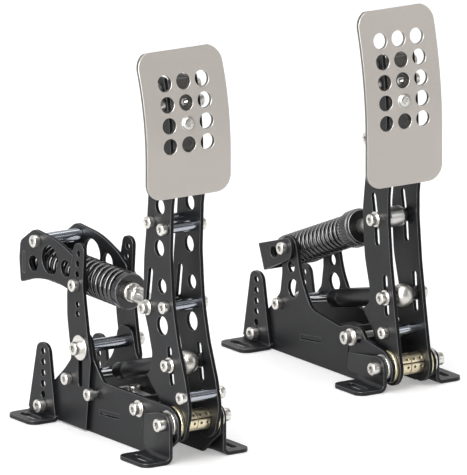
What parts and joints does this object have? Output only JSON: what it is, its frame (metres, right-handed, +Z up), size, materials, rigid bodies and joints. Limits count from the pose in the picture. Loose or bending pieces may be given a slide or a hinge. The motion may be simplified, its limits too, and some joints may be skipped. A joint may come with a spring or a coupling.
{
  "type": "sim racing pedal set",
  "caption": "Free-standing brake and throttle pedal units: perforated pads on twin-plate arms, coil-spring linkages, dampers and slotted feet on a black sheet-steel frame.",
  "frame": {"origin": "centre of the footprint of both units, on the surface that the feet stand on", "axes": "+Z up, +Y away from the driver, +X to the driver's right; the throttle stands at +X"},
  "size_m": [0.344, 0.2938, 0.3047],
  "materials": {
    "black_steel": "satin black powder coat",
    "bright_steel": "zinc-plated bright steel",
    "brushed_alloy": "fine brushed, warm grey",
    "bronze": "turned",
    "cell_alloy": "anodised",
    "black_plastic": "satin",
    "black_alloy": "black anodised",
    "spring_black": "gloss black",
    "damper_black": "gloss black lacquered tube",
    "chrome": "chromed rod"
  },
  "bodies": {
    "frame": {"brake_left_side_plate": "black_steel", "brake_right_side_plate": "black_steel", "brake_left_mast": "black_steel", "brake_right_mast": "black_steel", "brake_front_feet": "black_steel", "brake_rear_feet": "black_steel", "brake_pivot_axle": "bright_steel", "brake_thrust_washers": "bronze", "brake_washers": "bright_steel", "brake_frame_spacers": "bright_steel", "brake_frame_bolts": "bright_steel", "brake_load_cell": "cell_alloy", "brake_cross_plate": "black_steel", "throttle_cross_plate": "black_steel", "throttle_left_side_plate": "black_steel", "throttle_right_side_plate": "black_steel", "throttle_front_feet": "black_steel", "throttle_rear_feet": "black_steel", "throttle_pivot_axle": "bright_steel", "throttle_thrust_washers": "bronze", "throttle_frame_bolts": "bright_steel", "throttle_washers": "bright_steel", "throttle_position_sensor": "black_plastic"},
    "brake_arm": {"brake_left_arm_plate": "black_steel", "brake_right_arm_plate": "black_steel", "brake_arm_tubes": "bright_steel", "brake_arm_bolts": "bright_steel", "brake_pivot_bushes": "bronze", "brake_pad_bracket": "black_steel", "brake_pad": "brushed_alloy", "brake_pad_screw": "bright_steel", "brake_linkage_pins": "bright_steel"},
    "brake_damper": {"brake_damper_body": "damper_black", "brake_damper_eye": "bright_steel"},
    "brake_damper_rod": {"brake_damper_rod": "chrome"},
    "throttle_arm": {"throttle_left_arm_plate": "black_steel", "throttle_right_arm_plate": "black_steel", "throttle_arm_tubes": "bright_steel", "throttle_arm_bolts": "bright_steel", "throttle_pivot_bushes": "bronze", "throttle_pad_bracket": "black_steel", "throttle_pad": "brushed_alloy", "throttle_pad_screw": "bright_steel", "throttle_linkage_pins": "bright_steel"},
    "throttle_damper": {"throttle_damper_body": "damper_black", "throttle_damper_eye": "bright_steel"},
    "throttle_damper_rod": {"throttle_damper_rod": "chrome"},
    "brake_spring_rod": {"brake_spring_rod": "bright_steel", "brake_spring_nuts": "bright_steel", "brake_spring_cup": "black_plastic"},
    "brake_cage": {"brake_left_cage_plate": "black_steel", "brake_right_cage_plate": "black_steel", "brake_cage_web": "black_steel", "brake_cage_tube": "bright_steel", "brake_spring": "spring_black"},
    "throttle_spring_rod": {"throttle_rod_end": "bright_steel", "throttle_spring_rod": "bright_steel", "throttle_spring_adjuster": "black_alloy"},
    "throttle_cage": {"throttle_spring_bracket": "black_steel", "throttle_spring": "spring_black"}
  },
  "joints": [
    {"name": "brake_pedal", "type": "hinge", "parent": "frame", "child": "brake_arm", "pos_m": [-0.125, -0.1295, 0.0289], "axis": [-1, 0, 0], "range_deg": [0, 12], "stiffness_Nm_per_rad": 40, "springref_deg": -14.32, "deforming": ["brake_spring"]},
    {"name": "brake_rod_pivot", "type": "hinge", "parent": "brake_arm", "child": "brake_spring_rod", "pos_m": [-0.125, -0.0919, 0.1083], "axis": [-1, 0, 0], "range_deg": [-20.78, 0]},
    {"name": "brake_cage_pivot", "type": "hinge", "parent": "frame", "child": "brake_cage", "pos_m": [-0.125, -0.0089, 0.109], "axis": [-1, 0, 0], "range_deg": [-8.42, 0]},
    {"name": "brake_damper_pivot", "type": "hinge", "parent": "brake_arm", "child": "brake_damper", "pos_m": [-0.125, -0.1222, 0.0708], "axis": [-1, 0, 0], "range_deg": [-12.37, 0]},
    {"name": "brake_damper_slide", "type": "slide", "parent": "brake_damper", "child": "brake_damper_rod", "axis": [0, 0.9622, -0.2724], "range_m": [-0.00916, 0]},
    {"name": "throttle_pedal", "type": "hinge", "parent": "frame", "child": "throttle_arm", "pos_m": [0.125, -0.0385, 0.0173], "axis": [-1, 0, 0], "range_deg": [0, 16], "stiffness_Nm_per_rad": 8, "springref_deg": -20.05, "deforming": ["throttle_spring"]},
    {"name": "throttle_rod_pivot", "type": "hinge", "parent": "throttle_arm", "child": "throttle_spring_rod", "pos_m": [0.125, -0.0198, 0.1263], "axis": [-1, 0, 0], "range_deg": [-15.1, 0]},
    {"name": "throttle_cage_pivot", "type": "hinge", "parent": "frame", "child": "throttle_cage", "pos_m": [0.125, 0.0899, 0.083], "axis": [-1, 0, 0], "range_deg": [0, 1.38]},
    {"name": "throttle_damper_pivot", "type": "hinge", "parent": "throttle_arm", "child": "throttle_damper", "pos_m": [0.125, -0.0332, 0.069], "axis": [-1, 0, 0], "range_deg": [-16.56, 0]},
    {"name": "throttle_damper_slide", "type": "slide", "parent": "throttle_damper", "child": "throttle_damper_rod", "axis": [0, 0.9738, -0.2275], "range_m": [-0.0149, 0]}
  ],
  "couplings": [
    {"joint": "brake_rod_pivot", "follows": "brake_pedal", "ratio": -1.6814},
    {"joint": "brake_cage_pivot", "follows": "brake_pedal", "ratio": -0.68142},
    {"joint": "brake_damper_pivot", "follows": "brake_pedal", "ratio": -1.0005},
    {"joint": "brake_damper_slide", "follows": "brake_pedal", "m_per_rad": -0.042453},
    {"joint": "throttle_rod_pivot", "follows": "throttle_pedal", "ratio": -0.91615},
    {"joint": "throttle_cage_pivot", "follows": "throttle_pedal", "ratio": 0.083852},
    {"joint": "throttle_damper_pivot", "follows": "throttle_pedal", "ratio": -1.0051},
    {"joint": "throttle_damper_slide", "follows": "throttle_pedal", "m_per_rad": -0.051798}
  ]
}
